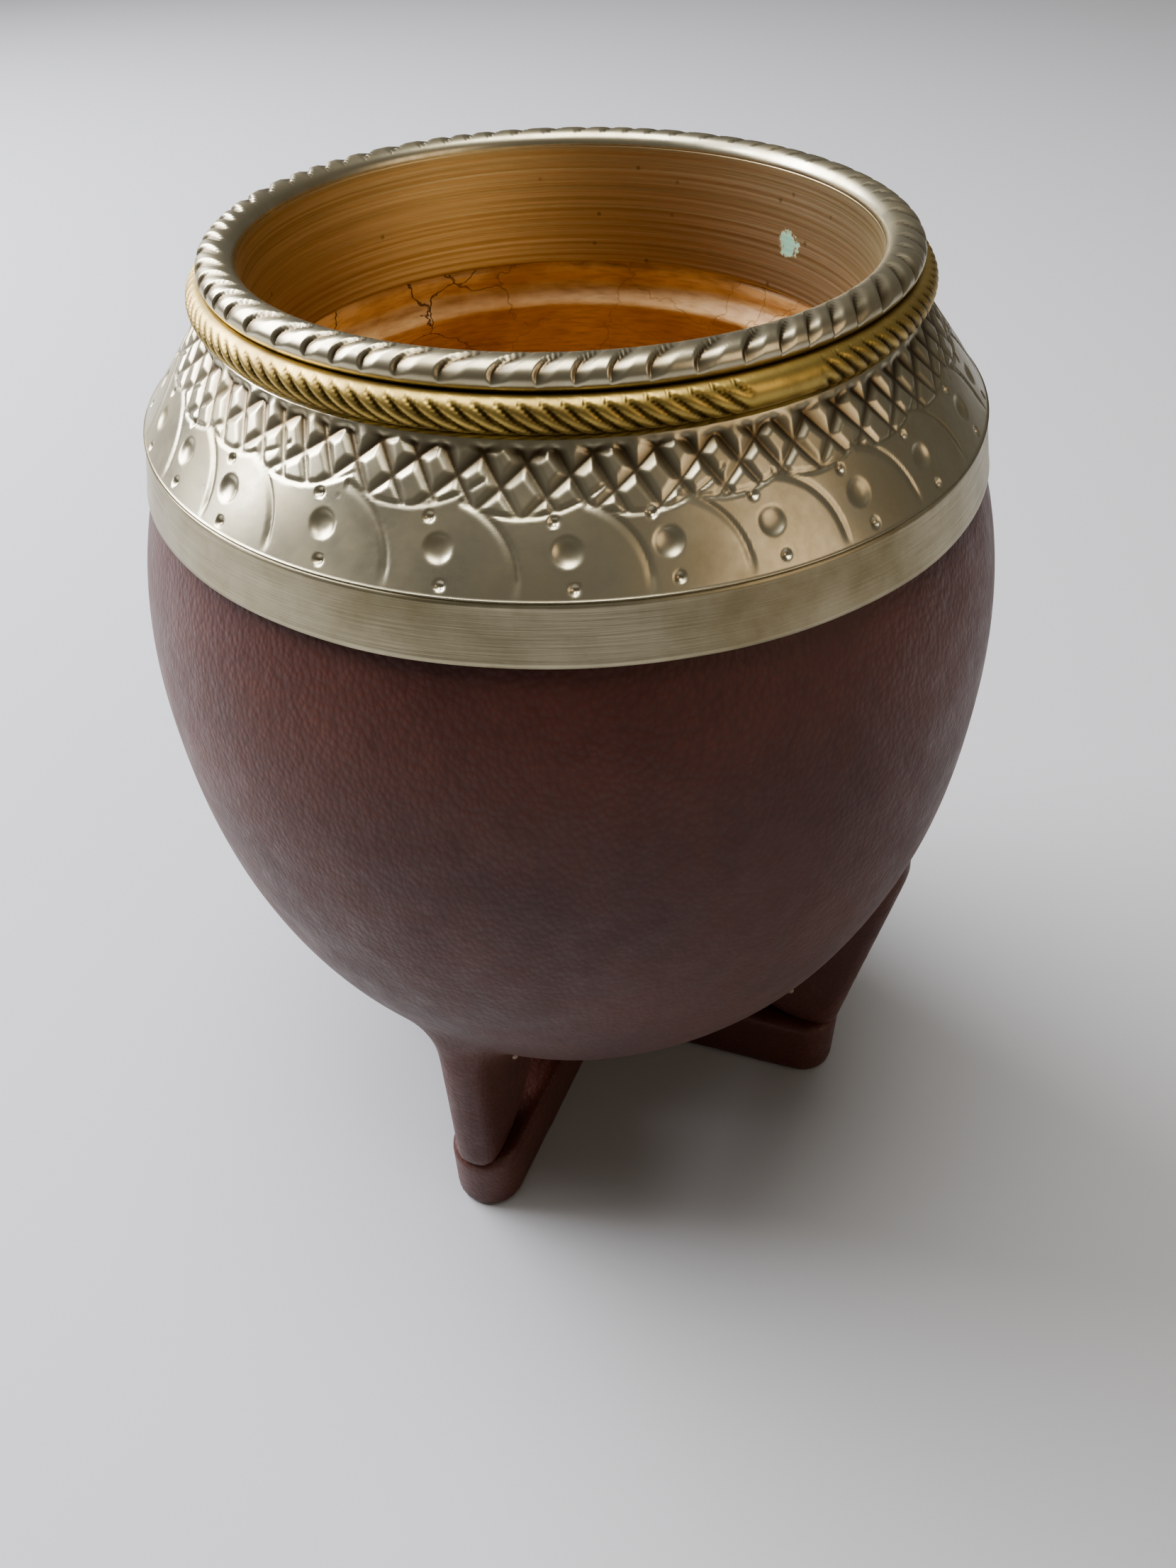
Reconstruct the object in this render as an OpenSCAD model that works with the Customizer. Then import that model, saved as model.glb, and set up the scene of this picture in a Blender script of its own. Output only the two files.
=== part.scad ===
// Mate cup: a calabash gourd under a leather cover, with a nickel-silver collar round its mouth,
// a twisted brass ring under the rolled lip, and four leather-covered legs on a crossed base.
// Millimetres, +Z up, origin on the ground under the middle of the cup.

/* [Body] */
// Widest radius of the leather-covered gourd
belly_r = 50; // [42:0.5:60]
// Height of the widest place above the ground
belly_z = 79.1; // [64:0.1:86]
// Height of the body's lowest point above the ground
bottom_z = 17.2; // [14:0.1:24]
// Fullness of the body below its widest place: 2 is an ellipse, more is squarer
fullness = 2.2; // [2:0.1:3]
// Thickness of the leather cover
leather_t = 1.8; // [1:0.1:2.4]

/* [Gourd] */
// Thickness of the gourd's wall at the belly
gourd_t = 4; // [3:0.1:7]
// Thickness of the gourd's wall at the bottom
gourd_floor_t = 5; // [3:0.1:8]
// Height of the gourd's cut neck above the lower edge of the band
gourd_neck_h = 13.5; // [12:0.1:14.5]
// Radius of the rounded ridge inside the gourd, just under the sleeve
ridge_r = 1.3; // [0.8:0.1:1.6]

/* [Collar] */
// Height of the band's lower edge above the ground
band_z = 103.5; // [95:0.5:112]
// Outer radius of the band's lower edge
band_r = 46; // [42:0.2:49]
// Height of the band
band_h = 5.8; // [4:0.1:8]
// How much the band draws in from its lower to its upper edge
band_draw = 1.3; // [0.6:0.1:2]
// Height of the engraved shoulder
shoulder_h = 10.4; // [9:0.1:12]
// Outer radius of the shoulder's upper edge
shoulder_top_r = 36.4; // [35.8:0.1:37.4]
// Thickness of the collar's metal
metal_t = 0.9; // [0.6:0.1:1.2]

/* [Mouth] */
// Radius of the open mouth
mouth_r = 32.1; // [28:0.1:34]
// Depth of the inner sleeve below the underside of the lip
sleeve_h = 12.2; // [8:0.1:14]
// Width of the rolled lip
lip_w = 3.9; // [3.4:0.1:4.4]
// Height of the lip's rounded top
lip_h = 1.5; // [1:0.1:2]

/* [Brass ring] */
// Radius of the twisted brass wire
wire_r = 1.6; // [1.2:0.05:1.9]

/* [Legs] */
// Angle between the base's two bars, which the legs stand on
bar_angle = 95; // [85:1:105]
// Thickness of each leg
leg_t = 6.4; // [4:0.1:8]
// How far the legs' upright outer edges stand inside the widest radius of the body
leg_inset = 8.4; // [4:0.1:12]
// Height at which the outer edge of a leg starts to lean out to the body
lean_z = 20; // [16:0.5:28]
// Radius of the curve by which a leg's outer edge leans out to the body
lean_r = 70; // [60:1:90]
// Height at which a leg's outer edge starts to sink into the body
sink_z = 43; // [38:0.5:46]
// Height of the top end of each leg
leg_top_z = 51; // [48:0.5:56]
// Radius of the rounded inner corner under each leg
arch_r = 13; // [8:0.5:16]
// Height of the base's crossed bars
bar_h = 11; // [8:0.5:12]
// Width of the base's bars
bar_w = 10; // [8:0.2:13]

/* [Hidden] */
$fn = 96;
// Clearance between pieces that slide over each other when the cup is put together
slip = 0.2;
// Shadow gap between the brass ring and the lip above it
lip_gap = 0.25;
// Clearance between the leather of a leg and the leather of the body, which are sewn close
seat = 0.05;
// Straight steps in each quarter of a body outline
steps = 20;

// Heights and radii that follow from the sizes above
band_top_z = band_z + band_h;
band_top_r = band_r - band_draw;
shoulder_top_z = band_top_z + shoulder_h;
sleeve_r = mouth_r + metal_t;
neck_in_r = sleeve_r + slip;
neck_r = neck_in_r + metal_t;
wire_path_r = neck_r + slip + wire_r;
wire_z = shoulder_top_z + wire_r + slip;
lip_z = wire_z + 0.75 * wire_r;
leather_top_r = band_r - metal_t;
// Half height of the ellipse above the belly, so that the leather meets the band's lower edge
upper_h = (band_z - belly_z) / sqrt(1 - pow(leather_top_r / belly_r, 2));
lower_h = belly_z - bottom_z;
// Distance from the middle of the cup to the upright outer edge of a leg
leg_r = belly_r - leg_inset;

// Radius of the body's outline at height z, drawn in by inset at the belly and at the bottom
function lower_r(z, inset, floor_inset) =
    (belly_r - inset) * pow(1 - pow(min(1, (belly_z - z) / (lower_h - floor_inset)), fullness), 1 / fullness);
function upper_r(z, inset) = belly_r * sqrt(1 - pow((z - belly_z) / upper_h, 2)) - inset;

// Direction of each leg about the cup, counted from the front: every second leg is on the same bar
function leg_turn(index) = -45 + (index < 2 ? 0 : 180) + (index % 2 == 0 ? -1 : 1) * bar_angle / 2;

// Top of the gourd's cut neck, which the body's outlines run up to
gourd_top_z = band_z + gourd_neck_h;
// Inner radius of the shoulder at that height
shoulder_slope = (band_top_r - shoulder_top_r) / shoulder_h;
gourd_top_r = band_top_r - metal_t - shoulder_slope * (gourd_top_z - band_top_z);

// Points up the body's outline, from its lowest point to the top of the gourd; it is straight inside the collar
function outline(inset, floor_inset) = concat(
    [for (i = [0 : steps])
        let (z = belly_z - (lower_h - floor_inset) * cos(90 * i / steps))
        [lower_r(z, inset, floor_inset), z]],
    [for (i = [1 : steps])
        let (z = belly_z + (band_z - belly_z) * i / steps)
        [upper_r(z, inset), z]],
    [[band_top_r - metal_t - slip - inset, band_top_z], [gourd_top_r - slip - inset, gourd_top_z]]
);

// Points of an arc about [cx, cz], from angle a to angle b
function arc(cx, cz, rx, rz, a, b, count) =
    [for (i = [0 : count]) [cx + rx * cos(a + (b - a) * i / count), cz + rz * sin(a + (b - a) * i / count)]];

// Inside of the gourd: from its floor up to the belly, in to the neck, over the ridge and up
hollow_r = belly_r - leather_t - gourd_t;
gourd_neck_r = sleeve_r + slip;
ridge_z = band_z + ridge_r;
hollow_h = lower_h - leather_t - gourd_floor_t;
hollow_upper_h = (ridge_z - ridge_r - belly_z) / sqrt(1 - pow(gourd_neck_r / hollow_r, 2));
function hollow_outline() = concat(
    [for (i = [0 : steps])
        let (z = belly_z - hollow_h * cos(90 * i / steps))
        [hollow_r * pow(1 - pow(min(1, (belly_z - z) / hollow_h), fullness), 1 / fullness), z]],
    [for (i = [1 : steps - 1])
        let (z = belly_z + (ridge_z - ridge_r - belly_z) * i / steps)
        [hollow_r * sqrt(1 - pow((z - belly_z) / hollow_upper_h, 2)), z]]
);

module gourd() {
    color("darkgoldenrod")
    difference() {
        rotate_extrude() polygon(concat(outline(leather_t, leather_t), [[0, gourd_top_z]]));
        rotate_extrude()
            polygon(concat(
                hollow_outline(),
                [[gourd_neck_r, ridge_z - ridge_r]],
                arc(gourd_neck_r + ridge_r, ridge_z + ridge_r, ridge_r, ridge_r, 200, 110, 6),
                [[gourd_neck_r, ridge_z + 2.6 * ridge_r], [gourd_neck_r, gourd_top_z + 1], [0, gourd_top_z + 1]]
            ));
    }
}

// The cover runs from the bottom of the body to just under the top of the band
module leather_cover() {
    cover_top_z = band_top_z - leather_t;
    color("saddlebrown")
    difference() {
        rotate_extrude() polygon(concat(outline(0, 0), [[0, gourd_top_z]]));
        rotate_extrude() polygon(concat(outline(leather_t, leather_t), [[0, gourd_top_z]]));
        translate([0, 0, cover_top_z]) cylinder(h = gourd_top_z, r = belly_r);
    }
}

module band() {
    color("darkkhaki")
    rotate_extrude()
        polygon([
            [band_r - metal_t, band_z],
            [band_r, band_z],
            [band_top_r, band_top_z],
            [band_top_r - metal_t, band_top_z]
        ]);
}

// Sloping shoulder, with the upright neck that carries the lip
module shoulder() {
    color("darkkhaki")
    rotate_extrude()
        polygon(concat(
            [[band_top_r - metal_t, band_top_z], [band_top_r, band_top_z]],
            [[shoulder_top_r, shoulder_top_z]],
            [[neck_r, shoulder_top_z + slip], [neck_r, lip_z], [neck_in_r, lip_z]],
            [[neck_in_r, shoulder_top_z - metal_t], [shoulder_top_r - metal_t, shoulder_top_z - metal_t]]
        ));
}

module sleeve() {
    color("tan")
    rotate_extrude() translate([mouth_r, lip_z - sleeve_h]) square([metal_t, sleeve_h]);
}

// Rolled lip: round on top and outside, cut back underneath so that the brass ring fits under it
module lip() {
    half_w = lip_w / 2;
    round_z = wire_z + wire_r + lip_gap + lip_h / 2;
    color("darkkhaki")
    rotate_extrude()
        polygon(concat(
            [[mouth_r, lip_z], [neck_r, lip_z]],
            arc(mouth_r + half_w, round_z, half_w, lip_h, -20, 180, 24)
        ));
}

module rope_ring() {
    color("goldenrod")
    rotate_extrude() translate([wire_path_r, wire_z]) circle(wire_r);
}

// Bars that cross under the body, each with a rounded outer end
module base() {
    end_r = bar_w / 2;
    reach = leg_r - end_r;
    color("saddlebrown")
    linear_extrude(bar_h)
        for (turn = [0, bar_angle])
            rotate(turn + leg_turn(0))
                union() {
                    translate([-reach, -end_r]) square([2 * reach, bar_w]);
                    for (side = [-1, 1]) translate([side * reach, 0]) circle(end_r);
                }
}

// Outer edge of a leg at height z: upright, then leaning out, and sinking into the body at its top
function leg_out_r(z) =
    let (
        lean = leg_r + lean_r - sqrt(pow(lean_r, 2) - pow(max(0, z - lean_z), 2)),
        skin = lower_r(z, 0, 0) + 2 * seat,
        sunk = min(1, max(0, (z - sink_z) / (leg_top_z - sink_z)))
    )
    lean + (skin - lean) * sunk * sunk * (3 - 2 * sunk);

// Inner edge of a leg at height z: round off underneath, then seated against the body
function leg_in_r(z, y) =
    let (rise = max(0, bar_h + arch_r - z))
    max(
        leg_r - leg_t / 2 - sqrt(pow(arch_r, 2) - pow(min(arch_r, rise), 2)),
        sqrt(pow(lower_r(z, 0, 0) + seat, 2) - y * y)
    );

// Level outline of a leg at height z: a rounded outer edge, two flat sides and the seat on the body
function leg_slice(z) =
    let (
        narrow = min(1, max(0, (z - sink_z) / (leg_top_z - sink_z))),
        half_w = leg_t / 2 * (1 - 0.6 * narrow * narrow),
        out_r = leg_out_r(z),
        side_in_r = leg_in_r(z, half_w),
        depth = min(half_w, 0.95 * (out_r - side_in_r))
    )
    concat(
        [for (a = [-90 : 15 : 90]) [out_r - depth + depth * cos(a), half_w * sin(a), z]],
        [for (k = [3 : -1 : -3]) [leg_in_r(z, half_w * k / 3), half_w * k / 3, z]]
    );

// Leg with a rounded outer edge, which stands on the base and carries the body
module leg(index) {
    rows = 24;
    slices = [for (i = [0 : rows]) leg_slice(bar_h + (leg_top_z - bar_h) * i / rows)];
    ring = len(slices[0]);
    color("saddlebrown")
    rotate(leg_turn(index))
    polyhedron(
        points = [for (slice = slices) each slice],
        faces = concat(
            [[for (j = [0 : ring - 1]) j]],
            [[for (j = [ring - 1 : -1 : 0]) rows * ring + j]],
            [for (i = [0 : rows - 1], j = [0 : ring - 1])
                let (a = i * ring + j, b = i * ring + (j + 1) % ring)
                each [[a, a + ring, b], [b, a + ring, b + ring]]]
        )
    );
}

gourd();
leather_cover();
band();
shoulder();
sleeve();
lip();
rope_ring();
base();
leg(0);  // leg_1
leg(1);  // leg_2
leg(2);  // leg_3
leg(3);  // leg_4
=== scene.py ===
# Visual model of an empty mate cup: a calabash gourd under brown leather, standing on four leather legs
# and a crossed base, with an engraved nickel-silver collar, a brass rope ring and a notched, rolled lip.
# Sizes are in millimetres in the text and become metres when a mesh is made.
import math
import bmesh
import bpy
import numpy as np
import openvdb
from mathutils import Matrix, Vector


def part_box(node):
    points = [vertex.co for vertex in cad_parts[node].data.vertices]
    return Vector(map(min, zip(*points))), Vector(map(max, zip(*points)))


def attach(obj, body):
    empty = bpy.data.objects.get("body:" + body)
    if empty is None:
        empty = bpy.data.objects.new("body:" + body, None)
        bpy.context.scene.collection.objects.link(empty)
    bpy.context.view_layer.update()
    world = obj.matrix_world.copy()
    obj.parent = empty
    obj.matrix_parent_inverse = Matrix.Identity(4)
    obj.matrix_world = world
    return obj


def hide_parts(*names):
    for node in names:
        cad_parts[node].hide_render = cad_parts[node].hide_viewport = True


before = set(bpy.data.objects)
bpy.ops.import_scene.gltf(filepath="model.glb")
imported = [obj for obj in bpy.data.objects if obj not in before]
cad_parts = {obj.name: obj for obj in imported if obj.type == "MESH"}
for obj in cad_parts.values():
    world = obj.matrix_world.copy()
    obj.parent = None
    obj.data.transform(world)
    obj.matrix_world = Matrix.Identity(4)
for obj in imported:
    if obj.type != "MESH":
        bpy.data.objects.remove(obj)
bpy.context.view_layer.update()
MM = 0.001


# ---------------------------------------------------------------------------------------------------
# Camera: held by hand, looking down into the cup from the front and a little to the right.
# ---------------------------------------------------------------------------------------------------
camera_data = bpy.data.cameras.new("camera")
camera_data.sensor_width = 36
camera_data.lens = 27.03
camera_data.clip_start = 0.01
camera = bpy.data.objects.new("camera", camera_data)
heading = Matrix.Rotation(math.radians(21.46), 4, "Z")
pitch = Matrix.Rotation(math.radians(90 - 42.34), 4, "X")
roll = Matrix.Rotation(math.radians(-1.62), 4, "Z")
camera.matrix_world = Matrix.Translation(Vector((46.9, -116.1, 162.9)) * MM) @ heading @ pitch @ roll
bpy.context.scene.collection.objects.link(camera)
bpy.context.scene.camera = camera


# ---------------------------------------------------------------------------------------------------
# Leather skin: one piece of thin vegetable-tanned cowhide, drawn wet over the gourd and its four
# wooden legs and sewn shut underneath, so that it runs from body to leg in a soft hollow curve.
# ---------------------------------------------------------------------------------------------------
cover_low, cover_high = (np.array(corner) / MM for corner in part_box("leather_cover"))
base_low, base_high = (np.array(corner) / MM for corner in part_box("base"))
band_low, band_high = (np.array(corner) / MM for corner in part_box("band"))
BELLY_R = cover_high[0]
BELLY_Z = 79.1
BOTTOM_Z = cover_low[2]
BAND_Z = band_low[2]
BAND_R = band_high[0]
METAL_T = 0.9
LEATHER_T = 1.8
FULLNESS = 2.2
LOWER_H = BELLY_Z - BOTTOM_Z
UPPER_H = (BAND_Z - BELLY_Z) / math.sqrt(1 - ((BAND_R - METAL_T) / BELLY_R) ** 2)
LEG_TURNS = (-92.5, 2.5, 87.5, 182.5)
LEG_SINKS = (40, 44, 41, 41)
LEG_LEANS = (0.02, 0.165, 0.09, 0.09)
LEG_T = 6.4
LEG_R = 41.6
BAR_H = base_high[2]


def linear(code):
    """An sRGB colour such as "a07040" as linear red, green, blue and an alpha of 1."""
    parts = [int(code[i : i + 2], 16) / 255 for i in (0, 2, 4)]
    return [c / 12.92 if c <= 0.04045 else ((c + 0.055) / 1.055) ** 2.4 for c in parts] + [1.0]


def add(tree, kind, inputs=None, **settings):
    """Adds a node. inputs maps a socket's name or number to a value or to another node's output."""
    made = tree.nodes.new(kind)
    for name, value in settings.items():
        setattr(made, name, value)
    for socket, value in (inputs or {}).items():
        if isinstance(value, bpy.types.NodeSocket):
            tree.links.new(value, made.inputs[socket])
        else:
            made.inputs[socket].default_value = value
    return made


def new_material(name):
    """A material of that name with an empty node tree, and the tree."""
    material = bpy.data.materials.new(name)
    material.use_nodes = True
    material.node_tree.nodes.clear()
    return material, material.node_tree


def place(piece, replaced):
    """Shows a finished piece instead of some CAD nodes, riding on the cup."""
    piece.data.shade_smooth()
    bpy.context.scene.collection.objects.link(piece)
    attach(piece, "root")
    if replaced:
        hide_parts(*replaced)


def surface(distance, low, high, cell):
    """Points and faces of the surface where a function of x, y and z is zero, on a grid of that cell."""
    axes = [np.arange(a, b, cell) for a, b in zip(low, high)]
    grid = openvdb.FloatGrid(background=5.0)
    grid.copyFromArray(distance(*np.meshgrid(*axes, indexing="ij")).astype(np.float32))
    points, triangles, quads = grid.convertToPolygons(isovalue=0.0, adaptivity=0.0)
    return points * cell + np.array(low), triangles.tolist() + quads.tolist()


def soft_min(a, b, width):
    """The smaller of two distances, with a hollow curve of about that width where they meet."""
    share = np.clip(0.5 + 0.5 * (b - a) / width, 0, 1)
    return b * (1 - share) + a * share - width * share * (1 - share)


def body_distance(x, y, z):
    """About how far a point lies outside the leather over the gourd."""
    radius = np.hypot(x, y) / BELLY_R
    below = np.maximum(0, BELLY_Z - z) / LOWER_H
    above = np.maximum(0, z - BELLY_Z) / UPPER_H
    full = (radius**FULLNESS + below**FULLNESS) ** (1 / FULLNESS)
    reach = np.maximum(np.where(z < BELLY_Z, full, np.hypot(radius, above)), 0.05)
    return np.sqrt(x * x + y * y + (z - BELLY_Z) ** 2) * (1 - 1 / reach)


def leg_distance(x, y, z, turn, sink_z, lean):
    """How far a point lies outside a leg: an upright board, rounded on its outer edge and inner corner."""
    # The outer edge draws back under the body above sink_z, and the leg is let into its bar by seat
    sink_h = 9
    sink_depth = 4.5
    edge_r = 2.9
    corner_r = 13
    corner_softness = 1.4
    seat = 0.6
    along = x * math.cos(turn) + y * math.sin(turn)
    across = y * math.cos(turn) - x * math.sin(turn)
    sunk = np.maximum(0, z - sink_z) / sink_h
    outside = along - LEG_R - lean * np.maximum(0, z - BAR_H) + sink_depth * sunk * sunk
    beside = np.abs(across) - LEG_T / 2
    rim = np.hypot(np.maximum(outside + edge_r, 0), np.maximum(beside + edge_r, 0))
    board = rim + np.minimum(np.maximum(outside, beside) + edge_r, 0) - edge_r
    corner_x = np.maximum(0, LEG_R - LEG_T / 2 - along)
    corner_z = np.maximum(0, BAR_H - seat + corner_r - z)
    return -soft_min(-board, corner_r - np.hypot(corner_x, corner_z), corner_softness)


def skin_distance(x, y, z):
    """How far a point lies outside the leather: the body and its four legs, run into each other."""
    hollow_w = 3.2
    ripple_h = 0.12
    distance = body_distance(x, y, z)
    for degrees, sink_z, lean in zip(LEG_TURNS, LEG_SINKS, LEG_LEANS):
        leg = leg_distance(x, y, z, math.radians(degrees), sink_z, lean)
        distance = soft_min(distance, leg, hollow_w)
    return distance + ripple_h * np.sin(x / 7.3 + 1.1) * np.sin(y / 6.1 + 0.4) * np.sin(z / 8.7)


def wall_radius(z, inset):
    """Radius of the body's outline at height z, drawn in by inset."""
    below = min(1.0, max(0.0, BELLY_Z - z) / (LOWER_H - inset))
    if z < BELLY_Z:
        return (BELLY_R - inset) * (1 - below**FULLNESS) ** (1 / FULLNESS)
    return BELLY_R * math.sqrt(1 - ((z - BELLY_Z) / UPPER_H) ** 2) - inset


def line_with_leather(shell, top_z):
    """Cuts the shell open at top_z and gives it an inner wall, ring by ring down to the bottom."""
    parts = shell.verts[:] + shell.edges[:] + shell.faces[:]
    cut = bmesh.ops.bisect_plane(
        shell, geom=parts, plane_co=(0, 0, top_z), plane_no=(0, 0, 1), clear_outer=True
    )
    rim = [part for part in cut["geom_cut"] if isinstance(part, bmesh.types.BMEdge)]
    low_z = BOTTOM_Z + LEATHER_T
    rings = 16
    for step in range(rings + 1):
        height = low_z + (top_z - low_z) * (1 + math.cos(math.pi * step / rings)) / 2
        radius = wall_radius(height, LEATHER_T) if step < rings else 0
        wall = bmesh.ops.extrude_edge_only(shell, edges=rim)["geom"]
        rim = [part for part in wall if isinstance(part, bmesh.types.BMEdge)]
        for vertex in {vertex for edge in rim for vertex in edge.verts}:
            flat = Vector((vertex.co.x, vertex.co.y, 0)).normalized() * radius
            vertex.co = (flat.x, flat.y, height)


leather, tree = new_material("vegetable_tanned_cowhide")
# Dyed reddish brown by hand and waxed: cloudy colour, fine pores drawn out by stretching, satin gloss.
# A pattern's scale is one over the size of its patches in metres. Sockets 1 to 4 of a map range are the
# two ends it maps from and to; 0, 6 and 7 of a colour mix are the share and the colours at 0 and at 1.
where = add(tree, "ShaderNodeTexCoord").outputs["Object"]
clouds = add(
    tree, "ShaderNodeTexNoise", {"Vector": where, "Scale": 1 / 0.022, "Detail": 5, "Roughness": 0.62}
)
cloud_share = add(tree, "ShaderNodeMapRange", {"Value": clouds.outputs["Fac"], 1: 0.35, 2: 0.68})
hide = add(
    tree, "ShaderNodeMix",
    {0: cloud_share.outputs[0], 6: linear("441b11"), 7: linear("5a2d1e")},
    data_type="RGBA",
)
rubs = add(
    tree, "ShaderNodeTexNoise", {"Vector": where, "Scale": 1 / 0.0045, "Detail": 6, "Roughness": 0.7}
)
rub_share = add(tree, "ShaderNodeMapRange", {"Value": rubs.outputs["Fac"], 1: 0.55, 2: 0.9, 4: 0.3})
worn = add(
    tree, "ShaderNodeMix",
    {0: rub_share.outputs[0], 6: hide.outputs[2], 7: linear("693d2b")},
    data_type="RGBA",
)
drawn = add(tree, "ShaderNodeMapping", {"Vector": where, "Scale": (1, 1, 0.75)})
pores = add(
    tree, "ShaderNodeTexVoronoi", {"Vector": drawn.outputs[0], "Scale": 1 / 0.0006, "Randomness": 1.0}
)
pore_dark = add(
    tree, "ShaderNodeMapRange", {"Value": pores.outputs["Distance"], 1: 0.15, 2: 0.8, 3: 0.0, 4: 0.28}
)
tone = add(
    tree, "ShaderNodeMix",
    {0: pore_dark.outputs[0], 6: worn.outputs[2], 7: linear("2e130d")},
    data_type="RGBA",
)
grain = add(
    tree, "ShaderNodeBump",
    {"Strength": 0.5, "Distance": 0.00012, "Height": pores.outputs["Distance"]},
    invert=True,
)
folds = add(tree, "ShaderNodeTexNoise", {"Vector": drawn.outputs[0], "Scale": 1 / 0.0016, "Detail": 4})
relief = add(
    tree,
    "ShaderNodeBump",
    {"Strength": 0.3, "Distance": 0.00022, "Height": folds.outputs["Fac"], "Normal": grain.outputs[0]},
)
gloss = add(
    tree, "ShaderNodeMapRange", {"Value": rubs.outputs["Fac"], 1: 0.3, 2: 0.7, 3: 0.40, 4: 0.58}
)
finish = add(
    tree,
    "ShaderNodeBsdfPrincipled",
    {
        "Base Color": tone.outputs[2],
        "Roughness": gloss.outputs[0],
        "IOR": 1.5,
        "Sheen Weight": 0.08,
        "Sheen Roughness": 0.5,
        "Sheen Tint": linear("c8c8c4"),
        "Normal": relief.outputs[0],
    },
)
add(tree, "ShaderNodeOutputMaterial", {"Surface": finish.outputs[0]})

skin_cell = 0.85
skin_margin = 2
foot_margin = 3
skin_low = (-BELLY_R - skin_margin, -BELLY_R - skin_margin, BAR_H - foot_margin)
skin_high = (BELLY_R + skin_margin, BELLY_R + skin_margin, cover_high[2] + skin_margin)
points, faces = surface(skin_distance, skin_low, skin_high, skin_cell)
skin_mesh = bpy.data.meshes.new("leather_skin")
skin_mesh.from_pydata(points.tolist(), [], faces)
shell = bmesh.new()
shell.from_mesh(skin_mesh)
bmesh.ops.recalc_face_normals(shell, faces=shell.faces)
line_with_leather(shell, cover_high[2])
bmesh.ops.remove_doubles(shell, verts=shell.verts, dist=1e-4)
bmesh.ops.recalc_face_normals(shell, faces=shell.faces)
bmesh.ops.scale(shell, vec=(MM, MM, MM), verts=shell.verts)
shell.to_mesh(skin_mesh)
shell.free()
skin_mesh.materials.append(leather)
skin = bpy.data.objects.new("leather_skin", skin_mesh)
place(skin, ("leather_cover", "leg_1", "leg_2", "leg_3", "leg_4"))


# ---------------------------------------------------------------------------------------------------
# Base: two wooden bars, halved into each other and wrapped in the same leather, which the legs are
# glued to. Their rubbed edges leave a dark crease between each leg and its bar.
# ---------------------------------------------------------------------------------------------------
def base_distance(x, y, z):
    """How far a point lies outside the crossed bars, with their rounded ends and rubbed edges."""
    end_r = 5.0
    rub = 1.1
    crossing_w = 1.5
    distance = 100.0
    for degrees in LEG_TURNS[:2]:
        turn = math.radians(degrees)
        along = np.abs(x * math.cos(turn) + y * math.sin(turn))
        across = y * math.cos(turn) - x * math.sin(turn)
        beside = np.hypot(np.maximum(0, along - (LEG_R - end_r)), across) - end_r
        above = np.abs(z - BAR_H / 2) - BAR_H / 2
        rim = np.hypot(np.maximum(beside + rub, 0), np.maximum(above + rub, 0))
        bar = rim + np.minimum(np.maximum(beside, above) + rub, 0) - rub
        distance = soft_min(distance, bar, crossing_w)
    return np.maximum(distance, np.abs(z - BAR_H / 2) - BAR_H / 2)


base_cell = 0.6
base_margin = 2
points, faces = surface(base_distance, base_low - base_margin, base_high + base_margin, base_cell)
base_mesh = bpy.data.meshes.new("leather_base")
base_mesh.from_pydata((points * MM).tolist(), [], faces)
shell = bmesh.new()
shell.from_mesh(base_mesh)
bmesh.ops.recalc_face_normals(shell, faces=shell.faces)
shell.to_mesh(base_mesh)
shell.free()
base_mesh.materials.append(leather)
base = bpy.data.objects.new("leather_base", base_mesh)
place(base, ("base",))


# ---------------------------------------------------------------------------------------------------
# Glue drops: hide glue squeezed out of the joints under the body, which ran a little way down two of
# the legs and dried there, pale and hard.
# ---------------------------------------------------------------------------------------------------
glue, tree = new_material("dried_hide_glue")
# Pale amber, clouded with dust and glossy where it ran smooth.
where = add(tree, "ShaderNodeTexCoord").outputs["Object"]
dust = add(tree, "ShaderNodeTexNoise", {"Vector": where, "Scale": 1 / 0.0006, "Detail": 3})
tone = add(
    tree, "ShaderNodeMix",
    {0: dust.outputs["Fac"], 6: linear("6d5444"), 7: linear("b9a794")},
    data_type="RGBA",
)
finish = add(
    tree, "ShaderNodeBsdfPrincipled", {"Base Color": tone.outputs[2], "Roughness": 0.22, "IOR": 1.52}
)
add(tree, "ShaderNodeOutputMaterial", {"Surface": finish.outputs[0]})


def glue_drop(name, turn, along, across, height, radius):
    """One lumpy drop that has sagged a little, half sunk in the side of a leg."""
    flatness = 0.8
    mesh = bpy.data.meshes.new(name)
    drop = bmesh.new()
    bmesh.ops.create_icosphere(drop, subdivisions=4, radius=radius)
    for vertex in drop.verts:
        x, y, z = vertex.co
        lump = 1 + 0.12 * math.sin(3.1 * x + 2 * y) + 0.1 * math.sin(2.7 * z + 1.9 * y)
        sag = 1.35 if z < 0 else 1.0
        place_x = along + x * lump
        place_y = across + y * lump * flatness
        turned_x = place_x * math.cos(turn) - place_y * math.sin(turn)
        turned_y = place_x * math.sin(turn) + place_y * math.cos(turn)
        vertex.co = Vector((turned_x, turned_y, height + z * lump * sag)) * MM
    drop.to_mesh(mesh)
    drop.free()
    mesh.materials.append(glue)
    return bpy.data.objects.new(name, mesh)


place(glue_drop("glue_drop_1", math.radians(LEG_TURNS[0]), 32, 3.3, 27, 0.65), ())
place(glue_drop("glue_drop_2", math.radians(LEG_TURNS[1]), 34, -3.3, 18, 0.55), ())


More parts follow.
